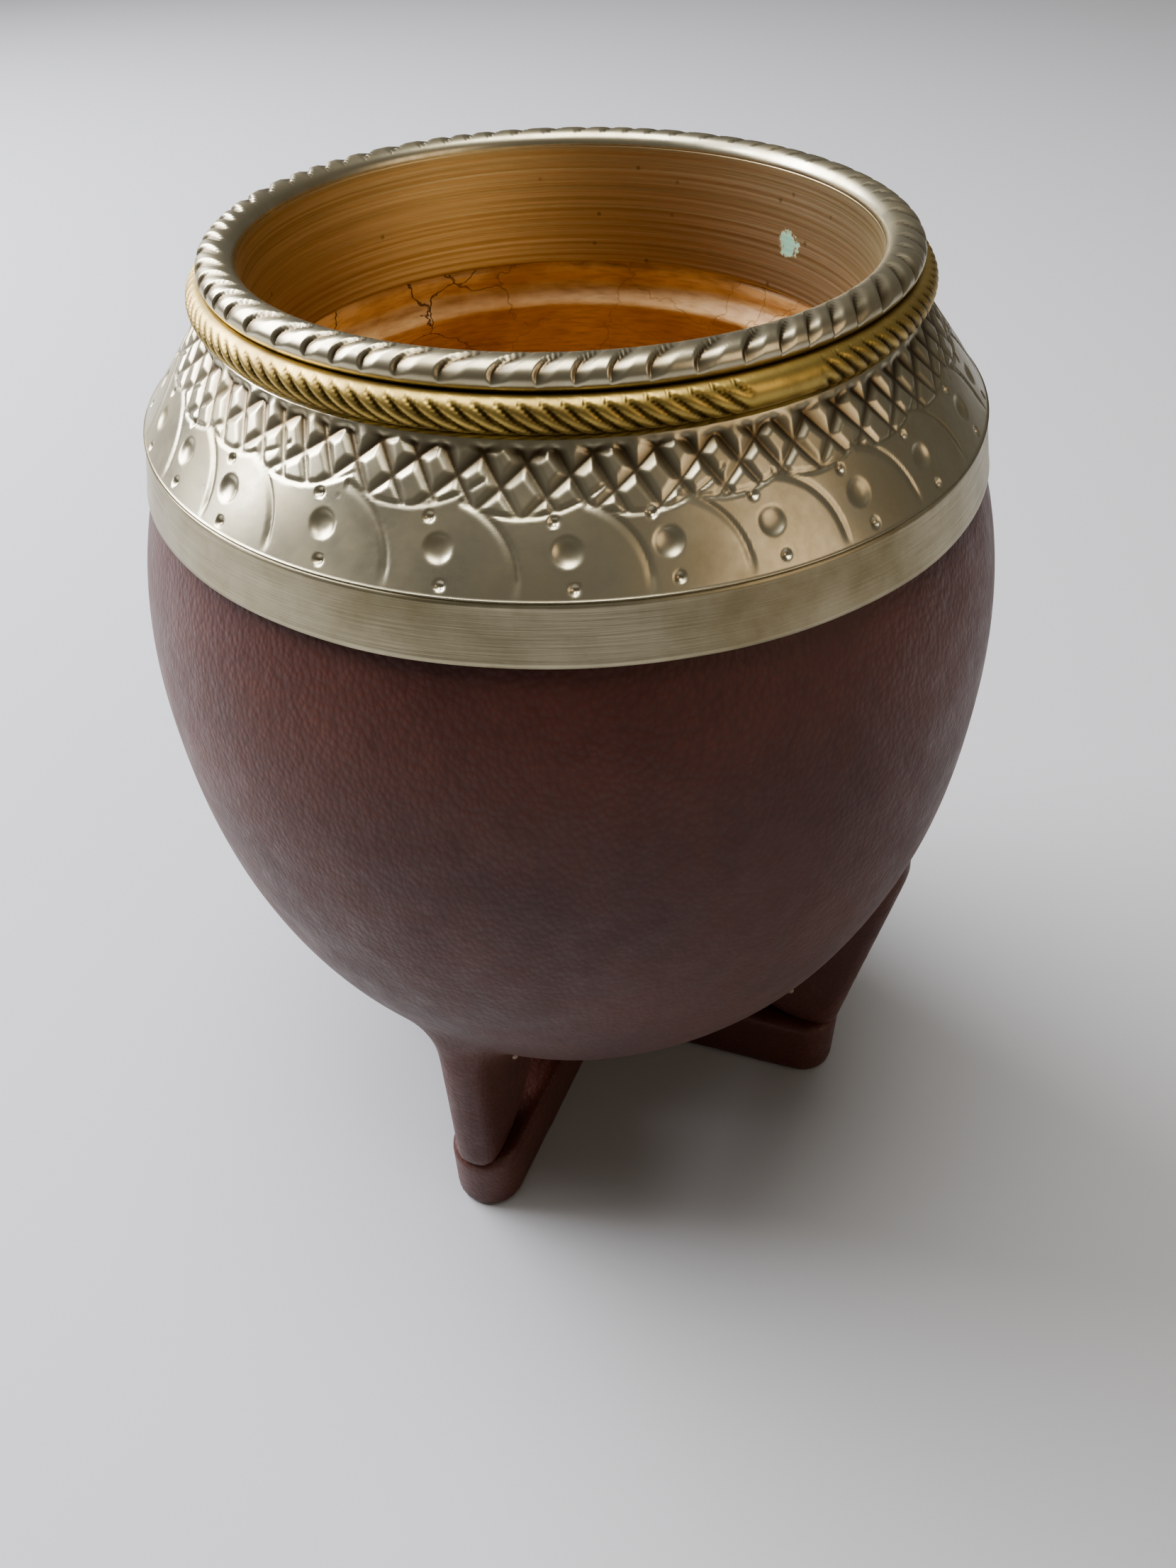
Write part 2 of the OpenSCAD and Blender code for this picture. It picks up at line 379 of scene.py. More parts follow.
# ---------------------------------------------------------------------------------------------------
# Gourd: the dried, woody shell of a calabash, scraped clean and turned smooth inside its neck, where
# a round ridge is left under the metal sleeve. It is orange-brown, with hairline cracks.
# ---------------------------------------------------------------------------------------------------
NECK_R = 33.25
NECK_TOP = BAND_Z + 13.5
WALL_T = 4
FLOOR_T = 5
HOLLOW_R = BELLY_R - LEATHER_T - WALL_T
FLOOR_Z = BOTTOM_Z + LEATHER_T + FLOOR_T


def turned(outline, steps, depth=0.0, closed=True):
    """Points and faces of a turned piece. depth sinks each point along the outline's inward normal."""
    outline = np.array(outline, float)
    turn = (np.arange(steps) * 2 * math.pi / steps)[:, None]
    ahead = np.roll(outline, -1, 0) - np.roll(outline, 1, 0)
    ahead /= np.maximum(np.hypot(ahead[:, :1], ahead[:, 1:]), 1e-9)
    radius = outline[:, 0] - depth * ahead[:, 1]
    height = outline[:, 1] + depth * ahead[:, 0] + 0 * turn
    points = np.stack([radius * np.cos(turn), radius * np.sin(turn), height], -1).reshape(-1, 3)
    count = len(outline)
    column = np.arange(count if closed else count - 1)
    row = np.arange(steps)[:, None]
    corners = [(row, column), (row + 1, column), (row + 1, column + 1), (row, column + 1)]
    quads = [((r % steps) * count + c % count).ravel() for r, c in corners]
    return points, np.stack(quads, -1).tolist()


def turned_piece(name, points, faces, material, depth=None):
    """A mesh object from points in millimetres, without doubles. depth is kept for its material."""
    mesh = bpy.data.meshes.new(name)
    mesh.from_pydata((points * MM).tolist(), [], faces)
    if depth is not None:
        layer = mesh.attributes.new("depth", "FLOAT", "POINT")
        layer.data.foreach_set("value", depth.ravel().astype(np.float32))
    shell = bmesh.new()
    shell.from_mesh(mesh)
    bmesh.ops.remove_doubles(shell, verts=shell.verts, dist=1e-7)
    bmesh.ops.recalc_face_normals(shell, faces=shell.faces)
    shell.to_mesh(mesh)
    shell.free()
    mesh.materials.append(material)
    return bpy.data.objects.new(name, mesh)


def gourd_outline():
    """The shell's outline from its lowest point up the outside, over the cut neck and down the inside."""
    outer_rows = 40
    upper_rows = 24
    lower_rows = 30
    clearance = 0.1
    ridge_z = BAND_Z + 1.7
    groove_z = BAND_Z + 4.0
    low_z = BOTTOM_Z + LEATHER_T
    outer = []
    for step in range(outer_rows + 1):
        height = low_z + (NECK_TOP - low_z) * (1 - math.cos(math.pi * step / outer_rows)) / 2
        outer.append((wall_radius(height, LEATHER_T + clearance) if step else 0, height))
    neck = []
    for height in np.arange(NECK_TOP, BAND_Z, -0.25):
        ridge = 1.15 * math.exp(-((height - ridge_z) ** 2))
        groove = 0.6 * math.exp(-(((height - groove_z) / 0.9) ** 2))
        neck.append((NECK_R + groove - ridge, height))
    hollow_h = BELLY_Z - FLOOR_Z
    upper_h = (BAND_Z - BELLY_Z) / math.sqrt(1 - (NECK_R / HOLLOW_R) ** 2)
    inner = []
    for step in range(1, upper_rows + 1):
        height = BAND_Z - (BAND_Z - BELLY_Z) * step / upper_rows
        inner.append((HOLLOW_R * math.sqrt(1 - ((height - BELLY_Z) / upper_h) ** 2), height))
    for step in range(1, lower_rows + 1):
        share = math.sin(math.pi / 2 * step / lower_rows)
        inner.append((HOLLOW_R * (1 - share**FULLNESS) ** (1 / FULLNESS), BELLY_Z - hollow_h * share))
    return outer + neck + inner


gourd_wall, tree = new_material("dried_calabash_shell")
# Woody and dry, stained by tea: cloudy orange-brown, short fibres round the neck, hairline cracks.
where = add(tree, "ShaderNodeTexCoord").outputs["Object"]
stain = add(
    tree, "ShaderNodeTexNoise", {"Vector": where, "Scale": 1 / 0.012, "Detail": 6, "Roughness": 0.6}
)
stain_share = add(tree, "ShaderNodeMapRange", {"Value": stain.outputs["Fac"], 1: 0.35, 2: 0.66})
woody = add(
    tree, "ShaderNodeMix",
    {0: stain_share.outputs[0], 6: linear("c49358"), 7: linear("e4bf8b")},
    data_type="RGBA",
)
lying = add(tree, "ShaderNodeMapping", {"Vector": where, "Scale": (1, 1, 6)})
fibres = add(tree, "ShaderNodeTexNoise", {"Vector": lying.outputs[0], "Scale": 1 / 0.003, "Detail": 5})
fibre_share = add(
    tree, "ShaderNodeMapRange", {"Value": fibres.outputs["Fac"], 1: 0.45, 2: 0.75, 4: 0.6}
)
fibrous = add(
    tree, "ShaderNodeMix",
    {0: fibre_share.outputs[0], 6: woody.outputs[2], 7: linear("a3703a")},
    data_type="RGBA",
)
bend = add(tree, "ShaderNodeTexNoise", {"Vector": where, "Scale": 1 / 0.004, "Detail": 4})
bent = add(
    tree, "ShaderNodeVectorMath",
    {0: bend.outputs["Color"], 1: (0.006, 0.006, 0.006)},
    operation="MULTIPLY",
)
bent_where = add(tree, "ShaderNodeVectorMath", {0: where, 1: bent.outputs[0]}, operation="ADD")
cells = add(
    tree, "ShaderNodeTexVoronoi",
    {"Vector": bent_where.outputs[0], "Scale": 1 / 0.0115},
    feature="DISTANCE_TO_EDGE",
)
crack = add(
    tree, "ShaderNodeMapRange", {"Value": cells.outputs["Distance"], 1: 0.003, 2: 0.012, 3: 1.0, 4: 0.0}
)
dry_place = (-0.031, 0.013, 0.106)
dry_gap = add(tree, "ShaderNodeVectorMath", {0: where, 1: dry_place}, operation="DISTANCE")
patch_share = add(
    tree, "ShaderNodeMapRange", {"Value": dry_gap.outputs["Value"], 1: 0.008, 2: 0.020, 3: 0.8, 4: 0.15}
)
crack_share = add(
    tree, "ShaderNodeMath",
    {0: crack.outputs[0], 1: patch_share.outputs[0]},
    operation="MULTIPLY", use_clamp=True,
)
tone = add(
    tree, "ShaderNodeMix",
    {0: crack_share.outputs[0], 6: fibrous.outputs[2], 7: linear("4a2006")},
    data_type="RGBA",
)
gouged = add(
    tree, "ShaderNodeBump",
    {"Strength": 0.8, "Distance": 0.0004, "Height": crack_share.outputs[0]},
    invert=True,
)
relief = add(
    tree,
    "ShaderNodeBump",
    {"Strength": 0.35, "Distance": 0.0003, "Height": fibres.outputs["Fac"], "Normal": gouged.outputs[0]},
)
finish = add(
    tree,
    "ShaderNodeBsdfPrincipled",
    {"Base Color": tone.outputs[2], "Roughness": 0.5, "IOR": 1.45, "Normal": relief.outputs[0]},
)
add(tree, "ShaderNodeOutputMaterial", {"Surface": finish.outputs[0]})

gourd_steps = 288
outline = gourd_outline()
points, faces = turned(outline, gourd_steps, closed=False)
dent = 0.22
scraped_z = BAND_Z + 6.5
unevenness = dent * np.sin(points[:, 0] / 3.1 + points[:, 2] / 5.0) * np.sin(points[:, 1] / 4.3 + 1.3)
radial = points[:, :2] / np.maximum(np.hypot(points[:, 0], points[:, 1]), 1)[:, None]
points[:, :2] -= radial * (unevenness + dent)[:, None] * (points[:, 2] < scraped_z)[:, None]
gourd = turned_piece("gourd_shell", points, faces, gourd_wall)
place(gourd, ("gourd",))


# ---------------------------------------------------------------------------------------------------
# Band: the collar's lower edge, a hoop of nickel-silver sheet pressed over the leather, left plain
# and brushed round and round with fine abrasive.
# ---------------------------------------------------------------------------------------------------
BAND_H = 5.8
BAND_TOP_R = BAND_R - 1.3
BAND_TOP_Z = BAND_Z + BAND_H

brushed, tree = new_material("brushed_nickel_silver")
# Warm grey metal: fine lines run round it and stretch the highlights, under cloudy tarnish.
where = add(tree, "ShaderNodeTexCoord").outputs["Object"]
lying = add(tree, "ShaderNodeMapping", {"Vector": where, "Scale": (1, 1, 40)})
lines = add(tree, "ShaderNodeTexNoise", {"Vector": lying.outputs[0], "Scale": 1 / 0.009, "Detail": 6})
tarnish = add(
    tree, "ShaderNodeTexNoise", {"Vector": where, "Scale": 1 / 0.01, "Detail": 5, "Roughness": 0.6}
)
tarnish_share = add(tree, "ShaderNodeMapRange", {"Value": tarnish.outputs["Fac"], 1: 0.35, 2: 0.75})
tone = add(
    tree, "ShaderNodeMix",
    {0: tarnish_share.outputs[0], 6: linear("b6ad94"), 7: linear("8f8465")},
    data_type="RGBA",
)
gloss = add(
    tree, "ShaderNodeMapRange", {"Value": lines.outputs["Fac"], 1: 0.3, 2: 0.7, 3: 0.3, 4: 0.46}
)
relief = add(
    tree, "ShaderNodeBump", {"Strength": 0.4, "Distance": 0.00006, "Height": lines.outputs["Fac"]}
)
finish = add(
    tree,
    "ShaderNodeBsdfPrincipled",
    {
        "Base Color": tone.outputs[2],
        "Metallic": 1.0,
        "Roughness": gloss.outputs[0],
        "Normal": relief.outputs[0],
    },
)
add(tree, "ShaderNodeOutputMaterial", {"Surface": finish.outputs[0]})

edge = 0.15
outline = [(BAND_R - METAL_T, BAND_Z), (BAND_R - edge, BAND_Z), (BAND_R, BAND_Z + edge)]
for share in np.linspace(0.1, 1, 12):
    outline.append((BAND_R + (BAND_TOP_R - BAND_R) * share, BAND_Z + BAND_H * share))
outline.append((BAND_TOP_R - METAL_T, BAND_TOP_Z))
band_steps = 720
turn = np.linspace(0, 2 * math.pi, band_steps, endpoint=False)[:, None]
hand = 0.05 * np.sin(5 * turn + 1) + 0.04 * np.sin(13 * turn) * np.sin(3 * turn)
hand_reach = 0.09
points, faces = turned(outline, band_steps, depth=hand + hand_reach)
band = turned_piece("collar_band", points, faces, brushed)
place(band, ("band",))


# ---------------------------------------------------------------------------------------------------
# Shoulder: the collar's sloping part, soldered to the band and engraved by hand with a crossed net,
# a garland of arcs, crescents and punched dots, each a little out of its even place.
# ---------------------------------------------------------------------------------------------------
SHOULDER_H = 10.4
SHOULDER_TOP_R = 36.4
NECK_OUT_R = 34.1
LIP_Z = BAND_Z + 19.2
SLANT = math.hypot(BAND_TOP_R - SHOULDER_TOP_R, SHOULDER_H)
SCALLOPS = 27
NET_DOWN = 81
NET_UP = 50

engraved, tree = new_material("engraved_nickel_silver")
# Polished by use on its high places, with brown tarnish left in the cuts.
where = add(tree, "ShaderNodeTexCoord").outputs["Object"]
cut = add(tree, "ShaderNodeAttribute", attribute_name="depth").outputs["Fac"]
tarnish = add(
    tree, "ShaderNodeTexNoise", {"Vector": where, "Scale": 1 / 0.006, "Detail": 6, "Roughness": 0.65}
)
tarnish_share = add(tree, "ShaderNodeMapRange", {"Value": tarnish.outputs["Fac"], 1: 0.35, 2: 0.8})
sheet = add(
    tree, "ShaderNodeMix",
    {0: tarnish_share.outputs[0], 6: linear("c6bea5"), 7: linear("a09474")},
    data_type="RGBA",
)
cut_share = add(tree, "ShaderNodeMapRange", {"Value": cut, 1: 0.08, 2: 0.34, 4: 0.9})
tone = add(
    tree, "ShaderNodeMix",
    {0: cut_share.outputs[0], 6: sheet.outputs[2], 7: linear("54432a")},
    data_type="RGBA",
)
gloss = add(
    tree, "ShaderNodeMapRange", {"Value": tarnish.outputs["Fac"], 1: 0.3, 2: 0.8, 3: 0.25, 4: 0.42}
)
relief = add(
    tree, "ShaderNodeBump", {"Strength": 0.12, "Distance": 0.0002, "Height": tarnish.outputs["Fac"]}
)
finish = add(
    tree,
    "ShaderNodeBsdfPrincipled",
    {
        "Base Color": tone.outputs[2],
        "Metallic": 1.0,
        "Roughness": gloss.outputs[0],
        "Normal": relief.outputs[0],
    },
)
add(tree, "ShaderNodeOutputMaterial", {"Surface": finish.outputs[0]})


def cut_mark(distance, half_width, depth):
    """Depth of a tool mark at a distance from its middle: a V with a slightly rounded floor."""
    return depth * np.clip(1 - np.abs(distance) / half_width, 0, 1) ** 0.85


def around(turn, middle):
    """Difference between two directions in degrees, from -180 to 180."""
    return (turn - middle + 180) % 360 - 180


def engraving(turn, up):
    """Depth of the engraving at a direction in degrees and a distance up the slope."""
    first_deg = 235.0
    cusp_deg = 2.2
    sag_up = 8.1
    garland_top = 8.6
    garland_low = 6.9
    crescent_r = 7.65
    net_middle = 6.4
    across_mm = np.radians(1) * (BAND_TOP_R - (BAND_TOP_R - SHOULDER_TOP_R) * up / SLANT)
    lift = up / SLANT * SHOULDER_H
    wander = 0.5 * np.sin(np.radians(7 * turn + 40)) + 0.25 * np.sin(np.radians(17 * turn))
    chance = np.random.default_rng(7)
    by_eye = (-1.2, -2.5, 0.3, 1.9, 3.2, 1.3, 0.6, 0.2, -0.3)
    depth = np.zeros_like(turn * up)
    bowls = np.zeros_like(depth)
    garland = np.full_like(depth, garland_low)
    even = 360 / SCALLOPS
    for scallop in range(SCALLOPS):
        slip_deg, slip_up, bite = chance.uniform(-1, 1, 3)
        off = by_eye[scallop] if scallop < len(by_eye) else 1.8 * slip_deg
        middle = first_deg + even * scallop + off
        cusp = middle + cusp_deg
        swag = around(turn, cusp) / even
        sag = sag_up + 0.25 * slip_up - 4 * swag * (1 - swag)
        garland = np.where((swag >= 0) & (swag < 1.12), np.minimum(sag, garland_top), garland)
        depth = np.maximum(depth, cut_mark(up - sag, 0.3, 0.16) * (swag > -0.03) * (swag < 1.32))
        side = around(turn, cusp) * across_mm
        crescent = np.hypot(side + 2.3, up - 0.9) - crescent_r
        reach = (side > -0.2) * np.clip((up - 0.4) / 1.5, 0, 1) * (up < garland_top)
        right = cut_mark(crescent, 0.2, 0.15) * (crescent > 0)
        left = cut_mark(crescent, 0.65, 0.15) * (crescent <= 0)
        depth = np.maximum(depth, (right + left) * reach)
        marks = ((0.0, 4.2, 1.3, 0.3), (-1.5, 6.7, 0.48, 0.34), (0.65, 1.2, 0.48, 0.34))
        for lean, height, radius, sink in marks:
            spread = np.hypot(around(turn, middle + lean) * across_mm, up - height - 0.25 * slip_up) / radius
            bowls = np.maximum(bowls, (sink + 0.04 * bite) * np.clip(1 - spread**2.6, 0, 1))
    grow = np.clip((up - 7.0) / 6.0, 0, 1)
    down_lines = ((turn + wander + 1.1 * (lift - net_middle)) * NET_DOWN / 360 + 0.5) % 1 - 0.5
    up_lines = ((turn - wander - 2.1 * (lift - net_middle) - 1.2) * NET_UP / 360 + 0.5) % 1 - 0.5
    down_mm = down_lines * 360 / NET_DOWN * across_mm * 0.86
    up_mm = up_lines * 360 / NET_UP * across_mm * 0.66
    net = cut_mark(down_mm, 0.4 + 0.65 * grow, 0.2 + 0.24 * grow)
    rising = cut_mark(up_mm, 0.42 + 0.7 * grow, 0.17 + 0.24 * grow)
    net = np.maximum(net, rising) * (up > garland) * np.clip((SLANT - 0.3 - up) / 0.6, 0, 1)
    cuts = np.maximum(depth, net)
    return np.maximum(cuts, bowls), np.maximum(cuts, 0.4 * bowls)


shoulder_steps = 1350
turn = np.linspace(0, 360, shoulder_steps, endpoint=False)[:, None]
slope = np.linspace(0, SLANT, 66)
outline = [(BAND_TOP_R - METAL_T, BAND_TOP_Z)]
for up in slope:
    radius = BAND_TOP_R - (BAND_TOP_R - SHOULDER_TOP_R) * up / SLANT
    outline.append((radius, BAND_TOP_Z + SHOULDER_H * up / SLANT))
outline += [(NECK_OUT_R, BAND_TOP_Z + SHOULDER_H + 0.2), (NECK_OUT_R, LIP_Z), (NECK_OUT_R - METAL_T, LIP_Z)]
outline += [(NECK_OUT_R - METAL_T, BAND_TOP_Z + SHOULDER_H - METAL_T)]
outline += [(SHOULDER_TOP_R - METAL_T, BAND_TOP_Z + SHOULDER_H - METAL_T)]
depth = np.zeros((shoulder_steps, len(outline)))
dirt = np.zeros_like(depth)
depth[:, 1 : 1 + len(slope)], dirt[:, 1 : 1 + len(slope)] = engraving(turn, slope[None, :])
hand = 0.06 * np.sin(np.radians(11 * turn)) * np.sin(slope / 2.3) + 0.07
depth += np.pad(hand, ((0, 0), (1, len(outline) - len(slope) - 1)))
points, faces = turned(outline, shoulder_steps, depth=depth)
shoulder = turned_piece("engraved_shoulder", points, faces, engraved, dirt)
place(shoulder, ("shoulder",))


# ---------------------------------------------------------------------------------------------------
# Sleeve: the nickel-silver lining of the mouth, pushed down inside the gourd's neck and left with the
# fine rings of the lathe. Tea has stained it brown, with pits and one green spot of verdigris.
# ---------------------------------------------------------------------------------------------------
SLEEVE_R = 32.1
SLEEVE_H = 12.2

lathed, tree = new_material("turned_nickel_silver")
# Fine rings catch the light as long soft streaks; the stain darkens it in bands and freckles.
where = add(tree, "ShaderNodeTexCoord").outputs["Object"]
lying = add(tree, "ShaderNodeMapping", {"Vector": where, "Scale": (1, 1, 170)})
rings = add(
    tree, "ShaderNodeTexNoise",
    {"Vector": lying.outputs[0], "Scale": 1 / 0.07, "Detail": 4, "Roughness": 0.75},
)
ring_share = add(tree, "ShaderNodeMapRange", {"Value": rings.outputs["Fac"], 1: 0.38, 2: 0.62})
streaked = add(
    tree, "ShaderNodeMix",
    {0: ring_share.outputs[0], 6: linear("b0a07a"), 7: linear("cabf9f")},
    data_type="RGBA",
)
pits = add(tree, "ShaderNodeTexVoronoi", {"Vector": where, "Scale": 1 / 0.0035})
pit_share = add(
    tree, "ShaderNodeMapRange", {"Value": pits.outputs["Distance"], 1: 0.03, 2: 0.1, 3: 0.5, 4: 0.0}
)
pitted = add(
    tree, "ShaderNodeMix",
    {0: pit_share.outputs[0], 6: streaked.outputs[2], 7: linear("4f3c20")},
    data_type="RGBA",
)
relief = add(
    tree, "ShaderNodeBump", {"Strength": 0.2, "Distance": 0.00006, "Height": rings.outputs["Fac"]}
)
crust = add(
    tree, "ShaderNodeTexNoise", {"Vector": where, "Scale": 1 / 0.0012, "Detail": 4, "Roughness": 0.7}
)
wet_place = (0.0179, 0.0267, 0.1164)
wet_gap = add(tree, "ShaderNodeVectorMath", {0: where, 1: wet_place}, operation="DISTANCE")
ragged = add(
    tree, "ShaderNodeMath",
    {0: crust.outputs["Fac"], 1: 0.0032, 2: wet_gap.outputs["Value"]},
    operation="MULTIPLY_ADD",
)
green_share = add(
    tree, "ShaderNodeMapRange", {"Value": ragged.outputs[0], 1: 0.0027, 2: 0.0031, 3: 1.0, 4: 0.0}
)
greened = add(
    tree, "ShaderNodeMix",
    {0: green_share.outputs[0], 6: pitted.outputs[2], 7: linear("8fb9a0")},
    data_type="RGBA",
)
bare = add(tree, "ShaderNodeMath", {0: 1.0, 1: green_share.outputs[0]}, operation="SUBTRACT")
dull = add(tree, "ShaderNodeMapRange", {"Value": green_share.outputs[0], 3: 0.42, 4: 0.85})
finish = add(
    tree,
    "ShaderNodeBsdfPrincipled",
    {
        "Base Color": greened.outputs[2],
        "Metallic": bare.outputs[0],
        "Roughness": dull.outputs[0],
        "Normal": relief.outputs[0],
    },
)
add(tree, "ShaderNodeOutputMaterial", {"Surface": finish.outputs[0]})

sleeve_steps = 360
low_z = LIP_Z - SLEEVE_H
heights = np.linspace(LIP_Z + 0.9, low_z + 0.25, 64)
lathe_marks = 0.008 * np.sin(heights * 9.1) + 0.012 * np.sin(heights * 4.3 + 1) * np.sin(heights * 1.7)
outline = [(SLEEVE_R + METAL_T, low_z + 0.2), (SLEEVE_R + METAL_T, LIP_Z)]
outline += [(SLEEVE_R + METAL_T, LIP_Z + 1.2)]
outline += [(SLEEVE_R + 0.4, LIP_Z + 1.6), (SLEEVE_R, LIP_Z + 1.35), (SLEEVE_R, LIP_Z + 1.2)]
outline += [(SLEEVE_R + mark, height) for mark, height in zip(lathe_marks, heights)]
outline += [(SLEEVE_R + 0.3, low_z), (SLEEVE_R + METAL_T - 0.2, low_z)]
points, faces = turned(outline, sleeve_steps)
sleeve = turned_piece("mouth_sleeve", points, faces, lathed)
place(sleeve, ("sleeve",))


# ---------------------------------------------------------------------------------------------------
# Brass rope ring: half-round brass wire, bent to a hoop, soldered shut and filed with slanting cuts
# below its smooth crown, so that it looks like a twisted rope.
# ---------------------------------------------------------------------------------------------------
def grooved_ring_tree():
    """Geometry nodes for a ring whose outside is cut by even slanting grooves that fade at both ends."""
    tree = bpy.data.node_groups.new("grooved_ring", "GeometryNodeTree")
    tree.interface.new_socket("Geometry", in_out="OUTPUT", socket_type="NodeSocketGeometry")
    sizes = (
        ("Path Radius", 36.0), ("Height", 100.0), ("Half Width", 1.6), ("Half Height", 1.6),
        ("Grooves", 60.0), ("First Groove", 0.0), ("Groove Depth", 0.3), ("Left Share", 0.2),
        ("Right Share", 0.3), ("Lean", 0.2), ("Curl", 0.0), ("Middle", 0.5), ("Reach", 1.0),
        ("Wander", 0.0), ("Joint", 0.0), ("Joint Width", 0.0),
        ("Turn Steps", 1200.0), ("Section Steps", 28.0),
    )
    for name, value in sizes:
        tree.interface.new_socket(name, in_out="INPUT", socket_type="NodeSocketFloat").default_value = value
    tree.interface.new_socket("Material", in_out="INPUT", socket_type="NodeSocketMaterial")
    given = add(tree, "NodeGroupInput").outputs
    turns = add(tree, "ShaderNodeMath", {0: given["Turn Steps"], 1: 1.0}, operation="ADD")
    sections = add(tree, "ShaderNodeMath", {0: given["Section Steps"], 1: 1.0}, operation="ADD")
    grid = add(
        tree, "GeometryNodeMeshGrid",
        {"Size X": 1.0, "Size Y": 1.0, "Vertices X": turns.outputs[0], "Vertices Y": sections.outputs[0]},
    )
    spot = add(tree, "ShaderNodeSeparateXYZ", {0: add(tree, "GeometryNodeInputPosition").outputs[0]})
    turn = add(
        tree, "ShaderNodeMath", {0: spot.outputs["X"], 1: math.tau}, operation="MULTIPLY"
    ).outputs[0]
    section = add(
        tree, "ShaderNodeMath", {0: spot.outputs["Y"], 1: math.tau}, operation="MULTIPLY"
    ).outputs[0]
    # Where the point lies in its groove's pitch, from 0 to 1 with the groove's floor at 0.5
    counted = add(
        tree, "ShaderNodeMath", {0: spot.outputs["X"], 1: given["Grooves"], 2: given["First Groove"]},
        operation="MULTIPLY_ADD",
    )
    off_middle = add(
        tree, "ShaderNodeMath", {0: section, 1: given["Middle"]}, operation="SUBTRACT"
    ).outputs[0]
    leaning = add(
        tree, "ShaderNodeMath",
        {0: off_middle, 1: given["Lean"], 2: counted.outputs[0]},
        operation="MULTIPLY_ADD",
    )
    off_squared = add(tree, "ShaderNodeMath", {0: off_middle, 1: off_middle}, operation="MULTIPLY")
    curling = add(
        tree, "ShaderNodeMath", {0: off_squared.outputs[0], 1: given["Curl"], 2: leaning.outputs[0]},
        operation="MULTIPLY_ADD",
    )
    sways = 11.0
    often = add(tree, "ShaderNodeMath", {0: turn, 1: sways}, operation="MULTIPLY")
    sway = add(tree, "ShaderNodeMath", {0: often.outputs[0]}, operation="SINE")
    swayed = add(
        tree, "ShaderNodeMath", {0: sway.outputs[0], 1: given["Wander"], 2: curling.outputs[0]},
        operation="MULTIPLY_ADD",
    )
    pitch_place = add(tree, "ShaderNodeMath", {0: swayed.outputs[0]}, operation="FRACT").outputs[0]
    left_start = add(tree, "ShaderNodeMath", {0: 0.5, 1: given["Left Share"]}, operation="SUBTRACT")
    right_end = add(tree, "ShaderNodeMath", {0: 0.5, 1: given["Right Share"]}, operation="ADD")
    left_wall = add(
        tree, "ShaderNodeMapRange", {0: pitch_place, 1: left_start.outputs[0], 2: 0.5, 3: 0.0, 4: 1.0}
    )
    right_wall = add(
        tree, "ShaderNodeMapRange", {0: pitch_place, 1: 0.5, 2: right_end.outputs[0], 3: 1.0, 4: 0.0}
    )
    cut = add(
        tree, "ShaderNodeMath", {0: left_wall.outputs[0], 1: right_wall.outputs[0]}, operation="MINIMUM"
    )
    # The cut is full at the middle of its reach round the section and runs out narrower at both ends
    far = add(tree, "ShaderNodeMath", {0: off_middle, 1: given["Reach"]}, operation="DIVIDE")
    far_squared = add(
        tree, "ShaderNodeMath", {0: far.outputs[0], 1: far.outputs[0]}, operation="MULTIPLY"
    )
    far_fourth = add(
        tree, "ShaderNodeMath",
        {0: far_squared.outputs[0], 1: far_squared.outputs[0]},
        operation="MULTIPLY",
    )
    narrowed = add(
        tree, "ShaderNodeMath",
        {0: cut.outputs[0], 1: far_fourth.outputs[0]},
        operation="SUBTRACT", use_clamp=True,
    )
    # No cuts where the hoop's two ends are soldered together
    from_joint = add(tree, "ShaderNodeMath", {0: turn, 1: given["Joint"]}, operation="SUBTRACT")
    joint_gap = add(tree, "ShaderNodeMath", {0: from_joint.outputs[0]}, operation="ABSOLUTE")
    fade_w = 0.04
    joint_end = add(tree, "ShaderNodeMath", {0: given["Joint Width"], 1: fade_w}, operation="ADD")
    joint_fade = add(
        tree, "ShaderNodeMapRange",
        {0: joint_gap.outputs[0], 1: given["Joint Width"], 2: joint_end.outputs[0]},
    )
    kept = add(
        tree, "ShaderNodeMath", {0: narrowed.outputs[0], 1: joint_fade.outputs[0]}, operation="MULTIPLY"
    )
    depth = add(
        tree, "ShaderNodeMath", {0: kept.outputs[0], 1: given["Groove Depth"]}, operation="MULTIPLY"
    ).outputs[0]
    wide = add(tree, "ShaderNodeMath", {0: given["Half Width"], 1: depth}, operation="SUBTRACT")
    high = add(tree, "ShaderNodeMath", {0: given["Half Height"], 1: depth}, operation="SUBTRACT")
    section_cos = add(tree, "ShaderNodeMath", {0: section}, operation="COSINE")
    section_sin = add(tree, "ShaderNodeMath", {0: section}, operation="SINE")
    radius = add(
        tree, "ShaderNodeMath",
        {0: wide.outputs[0], 1: section_cos.outputs[0], 2: given["Path Radius"]},
        operation="MULTIPLY_ADD",
    )
    height = add(
        tree, "ShaderNodeMath", {0: high.outputs[0], 1: section_sin.outputs[0], 2: given["Height"]},
        operation="MULTIPLY_ADD",
    )
    turn_cos = add(tree, "ShaderNodeMath", {0: turn}, operation="COSINE")
    turn_sin = add(tree, "ShaderNodeMath", {0: turn}, operation="SINE")
    x = add(
        tree, "ShaderNodeMath", {0: radius.outputs[0], 1: turn_cos.outputs[0]}, operation="MULTIPLY"
    )
    y = add(
        tree, "ShaderNodeMath", {0: radius.outputs[0], 1: turn_sin.outputs[0]}, operation="MULTIPLY"
    )
    place_mm = add(
        tree, "ShaderNodeCombineXYZ", {0: x.outputs[0], 1: y.outputs[0], 2: height.outputs[0]}
    )
